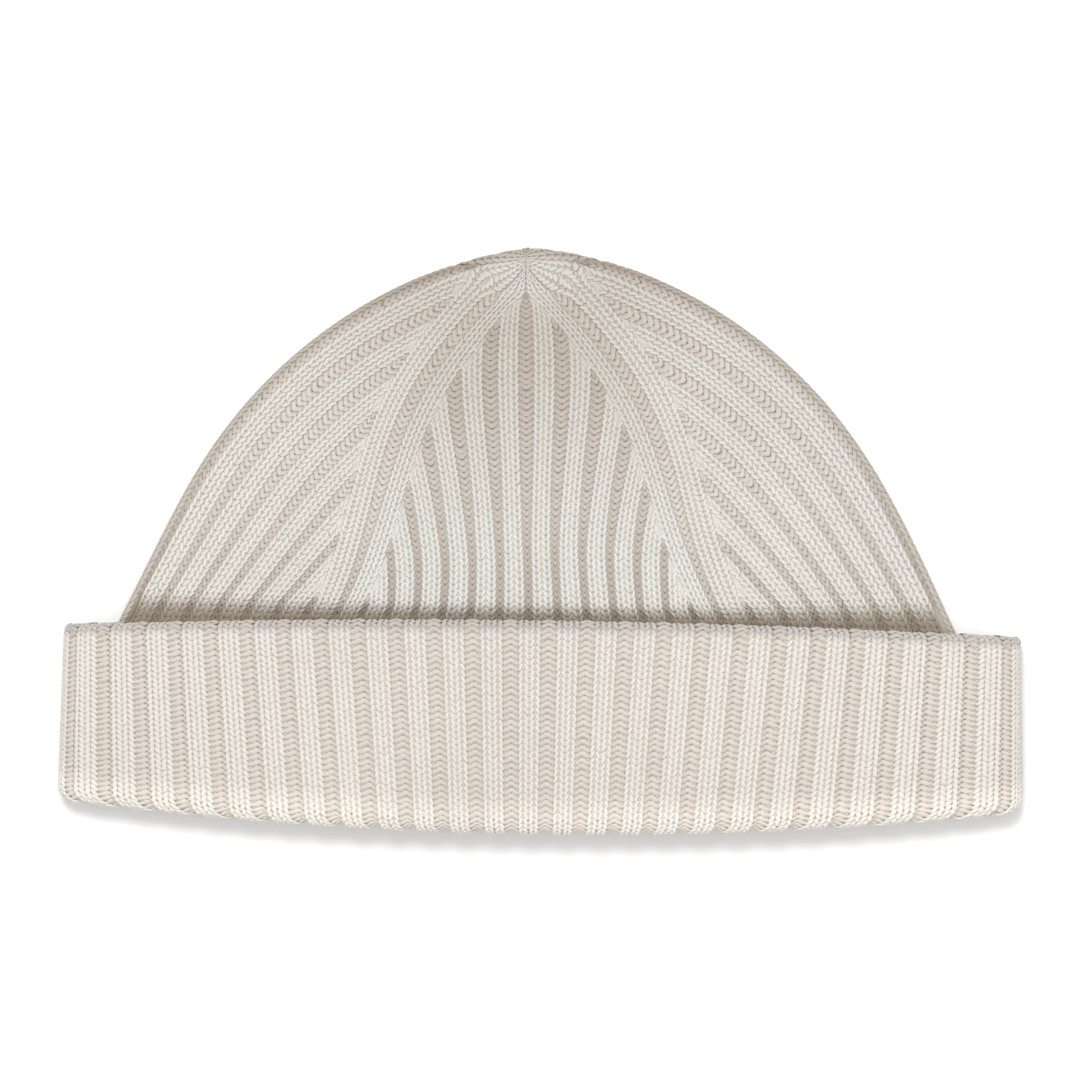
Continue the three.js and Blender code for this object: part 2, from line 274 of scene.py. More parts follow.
# Inner edge of the band of two columns that runs along the decrease line
def bandEdge(v):
    share = crownKnitShare(v)
    return ribsLeft(v) - 0.5 * (1 - share) - share


# Middle and half width of a purl groove, which tapers where the band has reached it
def grooveSpan(v, rib):
    half = 0.5 * (1 - crownKnitShare(v))
    right = np.minimum(rib + half, bandEdge(v))
    left = np.where(rib < 0.5, -right, rib - half)
    return (left + right) / 2, np.maximum(right - left, 0) / 2


def crownRelief(v, rib):
    rib = abs(rib)
    slope = crown["grooveSlope"]
    half = 0.5 * (1 - crownKnitShare(v))
    middle, inner = grooveSpan(v, np.round(np.minimum(rib, hat["halfWedgeRibs"] - 1)))
    deep = np.clip(inner / np.maximum(half, 1e-4), 0, 1) * (1 - eased(abs(rib - middle), 0, inner + slope))
    line = (1 - eased(abs(ribsLeft(v) - rib), 0, half + slope)) * eased(half, 0, slope)
    pleats = mix(crown["pleats"], 1, np.clip((1 - v) / (1 - crown["decreaseEnd"]), 0, 1))
    toCrease = np.minimum(rib, abs(ribsLeft(v) - rib))
    creased = eased(v, crown["creaseStart"], crown["creaseEnd"])
    crease = crown["crease"] * (1 - eased(toCrease, 0, crown["creaseWidth"])) * creased
    low = 1 + crown["lowGrooves"] * (1 - eased(v, 0, crown["lowGrooveEnd"]))
    return hat["groove"] * np.maximum(deep, line) * pleats * low + crease


# How far the front goes down at the cuff's rim
def crownDip(v, zone):
    near = 1 - eased(abs(v) * crown["rise"], 0, crown["dipReach"])
    return crown["dip"] * near * (zone < 2)


def onSide(zone):
    return (zone == 1) | (zone == 2)


# Painted shade: how dark it is at the cuff's rim, at the tip and at the side folds
def crownShade(v, zone, outward):
    rim = 1 - eased(v * crown["rise"], 0, crown["dipReach"])
    edge = crown["edgeShade"] * eased(outward, 0, crown["edgeShadeFull"])
    light = crown["tipLight"] * eased(v, crown["tipShadeTo"], 1)
    tip = crown["tipShade"] * (eased(v, crown["tipShadeFrom"], crown["tipShadeTo"]) - light)
    high = eased(v, crown["sideShadeFrom"], crown["sideShadeTo"])
    side = np.where(onSide(zone), mix(crown["sideShade"], 1, high), 1)
    return np.where(zone < 2, rim, 0) + tip * side + edge


cuff = {
    "width": 232.2 * mm,
    "rimWidth": 230.4 * mm,
    "rimSag": 2.8 * mm,  # at the ends
    "foldRise": 6.4 * mm,
    "hollowEnds": 3.2 * mm,  # height of the hollow at the ends
    "endLength": 5 * mm,  # of the round ends, outside and inside
    "hollowEndLength": 1.9 * mm,
    "flatPower": 3,
    "ribLean": 4.6 * mm,  # how far the ribs lean out from the fold to the rim
    "ribTurn": 0.36,  # in ribs, as are the next two
    "ribSwing": 0.63,
    "endTurn": 0.27,  # both ends to the same side
    "rimRound": 1.6 * mm,
    "knitShare": 0.62,  # of a rib's pitch
    "grooveSlope": 0.06,  # of the pitch, how far a groove's sides reach past its edges
    "rimEvened": 0.9,  # how much of the grooves is gone at the rim
    "rimReach": 2.6 * mm,
    "rimSink": 0.3 * mm,  # how far the ribs roll back at the rim
    "rimRaise": 0.7 * mm,  # how far the yarn stands above the edge of the fabric
    "rimStart": 0.9,  # of rimRound, how far the stitches run over the rim
    "rimShadeStart": 0.5,
    "rimShadePurl": 0.5,  # share of the rim's shade on the purl stitches
    "plainShade": 0.38,  # painted shade everywhere but at the fold, which is painted lighter
    "foldLight": 7 * mm,  # how far above the fold that starts
    "row": 1.45 * mm,  # height of a stitch
    "inside": 7.5 * mm,  # how far stitches are made into the mouth
}

foldRadius = stack / 2
cuffEndThickness = 2 * stack + cuff["hollowEnds"]
outerHeight = hat["cuffHeight"] - foldRadius - cuff["rimRound"]
innerTop = rimY - crown["overlap"] - hat["seamGap"]
innerHeight = innerTop - foldY - foldRadius
aroundFold = np.pi * foldRadius


# Place on a cross section of the cuff, lying flat. low and high are its lowest and highest z at the ends.
def loopPoint(rib, half, end, low, high):
    rib = rib % hat["ribs"]
    quarterRibs = hat["ribs"] / 4
    quarter = np.floor(rib / quarterRibs).astype(int) % 4
    share = (rib % quarterRibs) / quarterRibs
    toEnd = np.where(quarter % 2 == 0, share, 1 - share)
    right = np.where(quarter < 2, 1, -1)
    up = np.where((quarter == 0) | (quarter == 3), 1, -1)
    straight = half - end
    tall = (high - low) / 2
    around = np.pi / 4 * (3 * (end + tall) - np.sqrt((3 * end + tall) * (end + 3 * tall)))
    length = toEnd * (straight + around)
    angle = np.pi / 2 * np.clip((length - straight) / around, 0, 1)
    x = np.minimum(length, straight) + end * np.sin(angle)
    crowning = np.where(up > 0, hat["hollow"] - cuff["hollowEnds"], 0)
    rise = crowning * (1 - np.minimum(x / straight, 1) ** cuff["flatPower"])
    return right * x, (high + low) / 2 + up * tall * np.cos(angle) + rise


# angle is 0 on the turned-up layer and half a turn on the layer inside it, with the fold between them
def cuffPoint(rib, angle, reach, up, top):
    depth = foldRadius - reach * np.cos(angle)
    inside = angle > np.pi / 2
    innerHalf = outlineHalf(outerFace["half"], -crown["overlap"] / crown["rise"]) + crownLift
    half = mix(cuff["width"] / 2, np.where(inside, innerHalf, cuff["rimWidth"] / 2), up) - depth
    lean = cuff["ribLean"] * (1 - up) * hat["ribs"] / (2 * (cuff["width"] + cuffThickness))
    swing = np.sin(2 * np.pi * rib / hat["ribs"])
    slid = rib - cuff["ribTurn"] + cuff["ribSwing"] * swing + cuff["endTurn"] * swing**4
    leaning = slid - lean * np.sin(np.pi * slid / (hat["ribs"] / 4))
    end = mix(cuff["endLength"], cuff["hollowEndLength"], depth / stack)
    x, z = loopPoint(leaning, half, end, depth, cuffEndThickness - depth)
    toEnd = (x / (cuff["width"] / 2)) ** 2
    bottom = foldY + cuff["foldRise"] * toEnd + foldRadius
    highest = np.where(inside, top, top - cuff["rimSag"] * toEnd)
    y = np.where(up > 0, mix(bottom, highest, up), bottom - reach * np.sin(angle))
    x, y = turned(x, y, hat["tilt"])
    return np.stack([x, y, z], axis=-1)


# down is the length from the rim down the turned-up layer, round the fold and up inside
def cuffSurface(rib, down, depth):
    rimTurn = np.clip(-down / cuff["rimRound"], 0, np.pi)
    outerUp = np.clip(1 - down / outerHeight, 0, 1)
    angle = np.clip((down - outerHeight) / foldRadius, 0, np.pi)
    innerUp = np.clip((down - outerHeight - aroundFold) / innerHeight, 0, 1)
    rim = cuff["rimRound"]
    reach = foldRadius - rim * (1 - np.cos(rimTurn)) - depth * np.cos(rimTurn)
    edge = rimY + cuff["rimRaise"] - rim + (rim - depth) * np.sin(rimTurn)
    top = np.where(angle > np.pi / 2, innerTop, edge)
    return cuffPoint(rib, angle, reach, outerUp + innerUp, top)


def cuffRelief(rib, down):
    width = 0.5 * (1 - cuff["knitShare"]) + cuff["grooveSlope"]
    groove = abs(rib - np.floor(rib) - 0.5)
    evened = 1 - cuff["rimEvened"] * (1 - eased(down, 0, cuff["rimReach"]))
    return hat["groove"] * (1 - eased(groove, 0, width)) * evened


# The middle of the bottom of the frame's box is the origin. The box ends at the solid's corners, which lie on
# the crests of the ribs and round the fold.
def frameOffset():
    crests = np.arange(hat["ribs"])[:, None, None] + 0.5 + np.array([0.23, 0.77])[:, None]
    fold = np.radians([0, 30, 60, 90])
    corners = cuffPoint(crests, fold, foldRadius, 0.0, rimY).reshape(-1, 3)
    low = np.array(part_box("cuff")[0])
    return low - corners.min(axis=0)


offset = frameOffset()
print("frame offset in mm", (offset / mm).round(3))


def addNode(tree, kind, inputs=None, **settings):
    node = tree.nodes.new(kind)
    for key, value in settings.items():
        setattr(node, key, value)
    for key, value in (inputs or {}).items():
        if isinstance(value, bpy.types.NodeSocket):
            tree.links.new(value, node.inputs[key])
        else:
            node.inputs[key].default_value = value
    return node


wool = {
    "patches": 28.0,  # scales of the noises: over the hat, within a stitch and the fibres
    "flecks": 900.0,
    "fibres": 2600.0,
    "patchTones": (0.93, 1.05),
    "fleckTones": (0.94, 1.06),
    "stitchTones": (0.97, 1.02),
    "bump": 0.35,
    "bumpHeight": 0.2 * mm,
    "roughness": 0.9,
    "specular": 0.2,
    "sheen": 0.25,
    "sheenRoughness": 0.6,
    "crestDepth": 0.1,  # of the yarn's thickness, how deep the crest's colour reaches before the painted shade of the crevices begins
    "crownShadow": (0.47, 0.395, 0.325),
    "cuffShadow": (0.64, 0.64, 0.65),
    # of each yarn, the colour on its crest and, deep between the stitches, a darker colour that is painted
    # shade of the crevices. All six are the one yarn: the purl and backing colours are darker copies of the
    # knit's, painted shade of the grooves they lie in, and the crown's colours are darker than the cuff's
    "yarns": {
        "crownKnit": [(0.684, 0.665, 0.619), (0.638, 0.602, 0.547)],
        "crownPurl": [(0.613, 0.574, 0.522), (0.555, 0.509, 0.451)],
        "crownBacking": [(0.619, 0.588, 0.538), (0.474, 0.415, 0.346)],
        "cuffKnit": [(0.810, 0.768, 0.705), (0.758, 0.699, 0.620)],
        "cuffPurl": [(0.711, 0.653, 0.580), (0.642, 0.569, 0.486)],
        "cuffBacking": [(0.743, 0.701, 0.633), (0.669, 0.586, 0.492)],
    },
}


# Colour and fine height of spun wool: painted shade deep between the stitches and where the shade attribute
# asks for it, fibres, small tone changes from stitch to stitch and over the hat
def woolGroup():
    group = bpy.data.node_groups.new("spunWool", "ShaderNodeTree")
    for name in ("Light", "Deep", "Shadow"):
        group.interface.new_socket(name, in_out="INPUT", socket_type="NodeSocketColor")
    for name in ("Low", "Tone", "Shade"):
        group.interface.new_socket(name, in_out="INPUT", socket_type="NodeSocketFloat")
    for name, kind in [("Color", "Color"), ("Height", "Float")]:
        group.interface.new_socket(name, in_out="OUTPUT", socket_type="NodeSocket" + kind)
    given = addNode(group, "NodeGroupInput")
    place = addNode(group, "ShaderNodeTexCoord").outputs["Object"]
    noises = []
    for name, detail in [("patches", 2.0), ("flecks", 3.0), ("fibres", 2.0)]:
        noise = addNode(group, "ShaderNodeTexNoise", {"Vector": place, "Scale": wool[name], "Detail": detail})
        noises.append(noise.outputs["Fac"])
    patches, flecks, fibres = noises
    # Painted shade of the crevices from the low attribute, then painted shade and shadow from the shade
    # attribute
    yarn = {"Factor": given.outputs["Low"], "A": given.outputs["Light"], "B": given.outputs["Deep"]}
    yarn = addNode(group, "ShaderNodeMix", yarn, data_type="RGBA").outputs["Result"]
    cast = {"Factor": given.outputs["Shade"], "A": (1, 1, 1, 1), "B": given.outputs["Shadow"]}
    cast = addNode(group, "ShaderNodeMix", cast, data_type="RGBA").outputs["Result"]
    colour = addNode(group, "ShaderNodeVectorMath", {0: yarn, 1: cast}, operation="MULTIPLY")
    tones = []
    sources = [(patches, "patchTones"), (flecks, "fleckTones"), (given.outputs["Tone"], "stitchTones")]
    for source, name in sources:
        low, high = wool[name]
        limits = {"Value": source, "To Min": low, "To Max": high}
        tones.append(addNode(group, "ShaderNodeMapRange", limits).outputs["Result"])
    tone = tones[0]
    for more in tones[1:]:
        tone = addNode(group, "ShaderNodeMath", {0: tone, 1: more}, operation="MULTIPLY").outputs["Value"]
    scaling = {0: colour.outputs["Vector"], "Scale": tone}
    tinted = addNode(group, "ShaderNodeVectorMath", scaling, operation="SCALE")
    rough = addNode(group, "ShaderNodeMath", {0: fibres, 1: flecks}, operation="ADD")
    addNode(group, "NodeGroupOutput", {"Color": tinted.outputs["Vector"], "Height": rough.outputs["Value"]})
    return group


woolNodes = woolGroup()


# deep is the colour of the painted shade in the crevices, and shadow the colour of the painted shade from the
# shade attribute
def woolMaterial(name, light, deep, shadow):
    material = bpy.data.materials.new(name)
    material.use_nodes = True
    tree = material.node_tree
    shader = tree.nodes["Principled BSDF"]
    spun = addNode(tree, "ShaderNodeGroup", node_tree=woolNodes)
    for socket, colour in [("Light", light), ("Deep", deep), ("Shadow", shadow)]:
        spun.inputs[socket].default_value = (*colour, 1)
    for socket in ("Low", "Tone", "Shade"):
        attribute = addNode(tree, "ShaderNodeAttribute", attribute_name=socket.lower())
        tree.links.new(attribute.outputs["Fac"], spun.inputs[socket])
    relief = {"Strength": wool["bump"], "Distance": wool["bumpHeight"], "Height": spun.outputs["Height"]}
    bump = addNode(tree, "ShaderNodeBump", relief)
    tree.links.new(spun.outputs["Color"], shader.inputs["Base Color"])
    tree.links.new(bump.outputs["Normal"], shader.inputs["Normal"])
    shader.inputs["Roughness"].default_value = wool["roughness"]
    shader.inputs["Specular IOR Level"].default_value = wool["specular"]
    shader.inputs["Sheen Weight"].default_value = wool["sheen"]
    shader.inputs["Sheen Roughness"].default_value = wool["sheenRoughness"]
    return material


wools = {
    name: woolMaterial(name + "Wool", *colours, wool["crownShadow" if "crown" in name else "cuffShadow"])
    for name, colours in wool["yarns"].items()
}
print("materials made")


# A stretch of yarn: its points run from -1 to 1 along it, and round a section rolled by a share of a turn
def yarnShape(sides, rings, bluntness, roll=0):
    bm = bmesh.new()
    bmesh.ops.create_uvsphere(bm, u_segments=sides, v_segments=rings + 1, radius=1)
    bmesh.ops.triangulate(bm, faces=bm.faces)
    points = np.array([v.co for v in bm.verts])
    faces = np.array(sorted([v.index for v in face.verts] for face in bm.faces))  # the same order each run
    bm.free()
    along = 1 - 2 / np.pi * np.arccos(np.clip(points[:, 2], -1, 1))
    radius = np.sqrt(np.clip(1 - abs(along) ** bluntness, 0, 1))
    turn = np.round(np.arctan2(points[:, 1], points[:, 0]) / (2 * np.pi), 6) % 1
    across = np.cos(2 * np.pi * (turn + roll)) * radius
    out = np.sin(2 * np.pi * (turn + roll)) * radius
    # its map is the yarn unrolled. A corner at a pole has no turn of its own and takes the other corners'.
    corners = turn[faces]
    pole = radius[faces] < 1e-3
    corners = np.where(corners < corners.max(axis=1, keepdims=True) - 0.5, corners + 1, corners)
    others = np.where(pole, 0, corners).sum(axis=1, keepdims=True)
    others = others / np.maximum((~pole).sum(axis=1, keepdims=True), 1)
    corners = np.where(pole, others, corners)
    cell = np.stack([corners / (1 + 1 / sides), 0.5 + 0.5 * along[faces]], axis=-1)
    return {"along": along, "across": across, "out": out, "faces": faces, "cell": cell}


knitLeg = yarnShape(5, 3, 3)
purlArc = yarnShape(5, 7, 6, 0.25)


# One mesh of many copies of a shape, each with a square of the map. points is copies x vertices x 3.
def joinedCopies(name, shape, points, values, material):
    copies, size = points.shape[:2]
    faces = (shape["faces"][None] + size * np.arange(copies)[:, None, None]).reshape(-1, 3)
    mesh = bpy.data.meshes.new(name)
    mesh.vertices.add(copies * size)
    mesh.vertices.foreach_set("co", (points + offset).astype(np.float32).ravel())
    mesh.loops.add(faces.size)
    mesh.loops.foreach_set("vertex_index", faces.astype(np.int32).ravel())
    mesh.polygons.add(len(faces))
    mesh.polygons.foreach_set("loop_start", np.arange(0, faces.size, 3, dtype=np.int32))
    mesh.update(calc_edges=True)
    mesh.shade_smooth()
    for key, value in values.items():
        layer = mesh.attributes.new(key, "FLOAT", "POINT")
        layer.data.foreach_set("value", np.broadcast_to(value, (copies, size)).astype(np.float32).ravel())
    columns = math.ceil(math.sqrt(copies))
    number = np.arange(copies)
    corner = np.stack([number % columns, number // columns], axis=-1)[:, None, None]
    margin = 0.08
    places = (corner + margin + (1 - 2 * margin) * shape["cell"][None]) / columns
    mesh.uv_layers.new(name="OFBake").data.foreach_set("uv", places.astype(np.float32).ravel())
    mesh.materials.append(material)
    mesh.validate()
    piece = bpy.data.objects.new(name, mesh)
    bpy.context.collection.objects.link(piece)
    return piece


def dressed(piece, node):
    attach(piece, "root")
    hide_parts(node)
    triangles = sum(len(p.vertices) - 2 for p in piece.data.polygons)
    print(piece.name, triangles, "triangles")
    return piece


# Both legs of a knit stitch lean out from its foot to the next row. The foot lies over the stitch below.
leg = {
    "foot": 0.07,  # from the wale's middle, in wales
    "head": 0.45,
    "reach": 0.89,  # half its length, in rows
    "halfWidth": 0.215,
    "sink": 0.32,  # of the yarn's thickness, from the crest to the leg's middle
    "thick": 0.31,  # half its thickness
    "tuck": 0.2,  # how much deeper the ends lie
    "headTuck": 0.06,
    "slip": 0.8,  # how far a column sinks where it runs under the band
}

# Purl stitches show as waves of yarn that run across the groove, with a peak in the middle
wave = {
    "rows": 0.27,
    "trough": 0.68,  # where it is lowest, from the middle to the end
    "halfHeight": 0.56,  # in rows
    "pinch": 0.13,  # how much thinner it is at the peak and in the troughs
    "sink": 0.24,
    "thick": 0.15,
    "tuck": 0.25,
    "overlap": 1.18,  # of the groove's width
}


def legPlaces(side, jitter):
    p = knitLeg["along"]
    s = side * (mix(leg["foot"], leg["head"], (p + 1) / 2) + leg["halfWidth"] * knitLeg["across"])
    t = leg["reach"] * p + jitter
    sunk = leg["sink"] + leg["tuck"] * p**2 + leg["headTuck"] * p - leg["thick"] * knitLeg["out"]
    return s, t, hat["yarn"] * sunk


def wavePlaces(jitter):
    p = purlArc["along"]
    turn = np.pi * p / wave["trough"]
    thick = wave["halfHeight"] - wave["pinch"] * np.cos(2 * turn)
    t = -wave["rows"] * np.cos(turn) + thick * purlArc["across"] + jitter
    sunk = wave["sink"] + wave["tuck"] * p**4 - wave["thick"] * purlArc["out"]
    return 0.5 * p, t, hat["yarn"] * sunk


def lowness(deep):  # how much painted shade of the crevices between the stitches a point has, by its depth
    return np.clip(deep / hat["yarn"] - wool["crestDepth"], 0, 1)


def sideWarmth(zone):  # more of the painted crevice shade's colour in the side wedges, which makes them warmer
    return np.where(onSide(zone), crown["sideWarmth"], 0)[:, None]


def loose(count):  # small shift of each stitch along its column
    return rng.normal(0, hat["loose"], (count, 1))


def rowHeight(zone):
    return np.where(onSide(zone), crown["sideRow"], crown["row"])


# Share of the rise at which a row lies that is this far from the tip over the surface
def shareAt(far):
    return 1 - inFromEdge(edgeRadius, np.maximum(far, 0)) / crown["rise"]


# Every place of the columns of stitches on the crown, as arrays of the same length
def crownColumns(ribs, shifts):
    farthest = (1 + crown["hiddenRows"]) * crown["rise"] + edgeRadius * (np.pi / 2 - 1)
    places = []
    for side, zone in [(side, zone) for side in (1, -1) for zone in (0, 1, 2, 3)]:
        rows = np.arange(crown["lastRow"], farthest, rowHeight(zone))
        grid = np.meshgrid(side, zone, ribs, shifts, rows, indexing="ij")
        places.append([values.ravel() for values in grid])
    return [np.concatenate(values) for values in zip(*places)]


# Points of stitches on the crown. middleOf gives a column's place at a row, and s and t are across it and
# along it, square to each other on the fabric. s is in widths of the column.
def onCrown(side, zone, far, middleOf, width, s, t, deep, slip):
    step, reach = 0.3 * mm, 0.05  # along and across, to find the column's directions
    v, lower, upper = shareAt(far), shareAt(far + step), shareAt(far - step)
    middle = middleOf(v)
    slope = (middleOf(upper) - middleOf(lower)) / (2 * step)
    below = crownPoint(outerFace, lower, side, zone, middleOf(lower), 0)
    above = crownPoint(outerFace, upper, side, zone, middleOf(upper), 0)
    left = crownPoint(outerFace, v, side, zone, middle - reach, 0)
    right = crownPoint(outerFace, v, side, zone, middle + reach, 0)
    along = (above - below) / (2 * step)
    across = (right - left) / (2 * reach)
    shear = (along * across).sum(axis=-1) / np.maximum((along**2).sum(axis=-1), 1e-12)
    square = across - shear[:, None] * along
    size = np.sqrt((square**2).sum(axis=-1)) * width
    tight = np.clip(size / crown["fullWidth"], crown["flattest"], 1)[:, None]
    x = s * width[:, None]
    rise = t * rowHeight(zone)[:, None] - x * shear[:, None]
    placeV = shareAt(far[:, None] - rise)
    placeRib = middle[:, None] + x + slope[:, None] * rise
    depth = crownRelief(placeV, placeRib) + crownDip(placeV, zone[:, None]) + (deep + slip[:, None]) * tight
    points, outward = crownPlace(outerFace, placeV, side[:, None], zone[:, None], placeRib, depth)
    return points, crownShade(placeV, zone[:, None], outward)


def crownKnit(name, zones, material):
    side, zone, rib, shift, far = crownColumns(np.arange(hat["halfWedgeRibs"]), [0.25, 0.75])
    band = rib == hat["halfWedgeRibs"] - 1

    def middleOf(v):
        share = crownKnitShare(v)
        return np.where(band, bandEdge(v) + shift * share, rib + 0.5 + (shift - 0.5) * share)

    share = crownKnitShare(shareAt(far))
    past = np.where(band, 0, middleOf(shareAt(far)) + share / 4 - bandEdge(shareAt(far)))
    keep = np.isin(zone, zones) & (past < crown["bandCover"] * share)
    side, zone, rib, shift, far, band = (values[keep] for values in (side, zone, rib, shift, far, band))
    share, past = share[keep], past[keep]
    slip = leg["slip"] * hat["yarn"] * eased(past, 0, share / 2)
    parts = []
    for way in (-1, 1):
        s, t, deep = legPlaces(way, loose(len(far)))
        points, shade = onCrown(side, zone, far, middleOf, share / 2, s, t, deep, slip)
        tone = rng.random((len(far), 1))
        parts.append((points, lowness(deep + slip[:, None]) + sideWarmth(zone), tone, shade))
    points, low, tone, shade = (np.concatenate(values) for values in zip(*parts))
    values = {"low": low, "tone": tone, "shade": shade}
    return dressed(joinedCopies(name, knitLeg, points, values, material), "crown")


def crownPurl(name, zones, material):
    side, zone, rib, _, far = crownColumns(np.arange(hat["halfWedgeRibs"] + 1), [0])
    line = rib == hat["halfWedgeRibs"]

    def middleOf(v):
        return np.where(line, ribsLeft(v), grooveSpan(v, rib)[0])

    v = shareAt(far)
    width = np.where(line, 1 - crownKnitShare(v), 2 * grooveSpan(v, rib)[1])
    # a groove that lies between two half wedges is made once
    shared = (rib == 0) & ((zone == 2) | ((side < 0) & (zone != 1)))
    keep = np.isin(zone, zones) & (width > crown["narrowest"]) & ~shared & ~(line & onSide(zone))
    side, zone, rib, far, line, width = (values[keep] for values in (side, zone, rib, far, line, width))
    s, t, deep = wavePlaces(loose(len(far)))
    level = np.zeros(len(far))
    points, shade = onCrown(side, zone, far, middleOf, width * wave["overlap"], s, t, deep, level)
    inner = np.where(line | onSide(zone), 0, crown["innerShade"])
    risen = eased(shareAt(far), crown["grooveShadeFrom"], crown["grooveShadeTo"])
    shade = shade + (inner + crown["grooveShade"] * (1 - risen))[:, None]
    low = lowness(deep) + sideWarmth(zone)
    values = {"low": low, "tone": rng.random((len(far), 1)), "shade": shade}
    return dressed(joinedCopies(name, purlArc, points, values, material), "crown")


crownKnit("crown_knit_stitches_front", [0, 1], wools["crownKnit"])
crownKnit("crown_knit_stitches_back", [2, 3], wools["crownKnit"])
crownPurl("crown_purl_stitches_front", [0, 1], wools["crownPurl"])
crownPurl("crown_purl_stitches_back", [2, 3], wools["crownPurl"])


def cuffRows():
    first = -cuff["rimStart"] * cuff["rimRound"]
    last = outerHeight + aroundFold + cuff["inside"]
    return np.arange(first, last, cuff["row"])


# Painted shade of the cuff: where the rim rolls back, and everywhere but near the fold, which is left lighter
# as painted light
def cuffShade(down, rim=1):
    plain = cuff["plainShade"] * (1 - eased(down, outerHeight - cuff["foldLight"], outerHeight))
    rolled = 1 - eased(down, -cuff["rimShadeStart"] * cuff["rimRound"], cuff["rimReach"])
    return plain + rim * rolled


def cuffKnit(name, ribs, material):
    rib, shift, down = np.meshgrid(ribs, [-0.25, 0.25], cuffRows(), indexing="ij")
    middle = (rib + shift * cuff["knitShare"]).ravel()[:, None]
    down = down.ravel()[:, None]
    parts = []
    for way in (-1, 1):
        s, t, deep = legPlaces(way, loose(len(down)))
        placeDown = down + t * cuff["row"]
        placeRib = (middle + s * cuff["knitShare"] / 2) % hat["ribs"]
        sunk = deep + cuff["rimSink"] * (1 - eased(down, -cuff["rimRound"], cuff["rimReach"]))
        points = cuffSurface(placeRib, placeDown, cuffRelief(placeRib, placeDown) + sunk)
        tone = rng.random((len(down), 1))
        parts.append((points, lowness(sunk), tone, cuffShade(placeDown)))
    points, low, tone, shade = (np.concatenate(values) for values in zip(*parts))
    values = {"low": low, "tone": tone, "shade": shade}
    return dressed(joinedCopies(name, knitLeg, points, values, material), "cuff")


def cuffPurl(name, ribs, material):
    rib, down = np.meshgrid(ribs, cuffRows(), indexing="ij")
    middle, down = (rib + 0.5).ravel()[:, None], down.ravel()[:, None]
    s, t, deep = wavePlaces(loose(len(down)))
    placeDown = down + t * cuff["row"]
    placeRib = (middle + s * (1 - cuff["knitShare"]) * wave["overlap"]) % hat["ribs"]
    points = cuffSurface(placeRib, placeDown, cuffRelief(placeRib, placeDown) + deep)
    shade = cuffShade(placeDown, cuff["rimShadePurl"])
    values = {"low": lowness(deep), "tone": rng.random((len(down), 1)), "shade": shade}
    return dressed(joinedCopies(name, purlArc, points, values, material), "cuff")


# The bound edge: a bigger loop over every purl column at the rim
rimLoop = {
    "width": 0.4,  # in ribs
    "rows": 1.1,  # height of its arch
    "halfHeight": 0.36,
    "sink": 0.4,
    "thick": 0.4,
    "tuck": 0.5,
    "down": 0.6 * mm,
    "lift": 0.1 * mm,
    "shade": 0.35,
}


def cuffRimLoops(name, material):
    middle = np.arange(hat["ribs"])[:, None] + 0.5
    p = purlArc["along"]
    s = rimLoop["width"] * 0.5 * p
    t = rimLoop["rows"] * (p**2 - 0.5) + rimLoop["halfHeight"] * purlArc["across"] + loose(len(middle))
    sunk = rimLoop["sink"] + rimLoop["tuck"] * p**4 - rimLoop["thick"] * purlArc["out"]
    deep = hat["yarn"] * sunk - rimLoop["lift"]
    placeDown = rimLoop["down"] + t * cuff["row"]
    placeRib = (middle + s) % hat["ribs"]
    points = cuffSurface(placeRib, placeDown, cuffRelief(placeRib, placeDown) + deep)
    shade = rimLoop["shade"] + cuff["plainShade"]
    values = {"low": lowness(deep), "tone": rng.random((len(middle), 1)), "shade": shade}
    return dressed(joinedCopies(name, purlArc, points, values, material), "cuff")


quarter = hat["ribs"] // 4
cuffKnit("cuff_knit_stitches_front", np.arange(-quarter, quarter), wools["cuffKnit"])
cuffKnit("cuff_knit_stitches_back", np.arange(quarter, 3 * quarter), wools["cuffKnit"])
cuffPurl("cuff_purl_stitches", np.arange(hat["ribs"]), wools["cuffPurl"])
cuffRimLoops("cuff_rim_loops", wools["cuffPurl"])


# The closed sheets of fabric behind the stitches, with the frame's inner faces
backing = {
    "ribSteps": 6,
    "crownRows": 52,
    "innerRows": 20,  # on the crown's inside
    "cuffRows": 36,
    "hiddenRows": 16,  # between the cuff's layers
    "weld": 0.002 * mm,  # points closer than this are one
}


# place gives each point, and how much painted shade of the groove and of the shadow it has
def bentGrid(bm, columns, rows, place):
    lowLayer = bm.verts.layers.float.get("low") or bm.verts.layers.float.new("low")
    shadeLayer = bm.verts.layers.float.get("shade") or bm.verts.layers.float.new("shade")
    made = bmesh.ops.create_grid(bm, x_segments=columns, y_segments=rows, size=1)["verts"]
    unit = np.array([v.co for v in made])
    column = np.round((unit[:, 0] + 1) / 2 * columns)
    row = np.round((unit[:, 1] + 1) / 2 * rows)
    points, low, shade = place(column, row)
    for vert, point, lowHere, shadeHere in zip(made, points + offset, low, shade):
        vert.co = point
        vert[lowLayer] = lowHere
        vert[shadeLayer] = shadeHere


# Both of its rims are bridged, which closes the sheet
def finishedBacking(name, bm, material, node):
    bmesh.ops.remove_doubles(bm, verts=bm.verts, dist=backing["weld"])
    bmesh.ops.bridge_loops(bm, edges=[edge for edge in bm.edges if edge.is_boundary])
    bmesh.ops.dissolve_degenerate(bm, edges=bm.edges, dist=backing["weld"] / 2)
    bmesh.ops.recalc_face_normals(bm, faces=bm.faces)
    mesh = bpy.data.meshes.new(name)
    bm.to_mesh(mesh)
    bm.free()
    mesh.shade_smooth()
    tone = mesh.attributes.new("tone", "FLOAT", "POINT")
    tone.data.foreach_set("value", np.full(len(mesh.vertices), 0.5, dtype=np.float32))
    mesh.materials.append(material)
    piece = bpy.data.objects.new(name, mesh)
    bpy.context.collection.objects.link(piece)
    return dressed(piece, node)


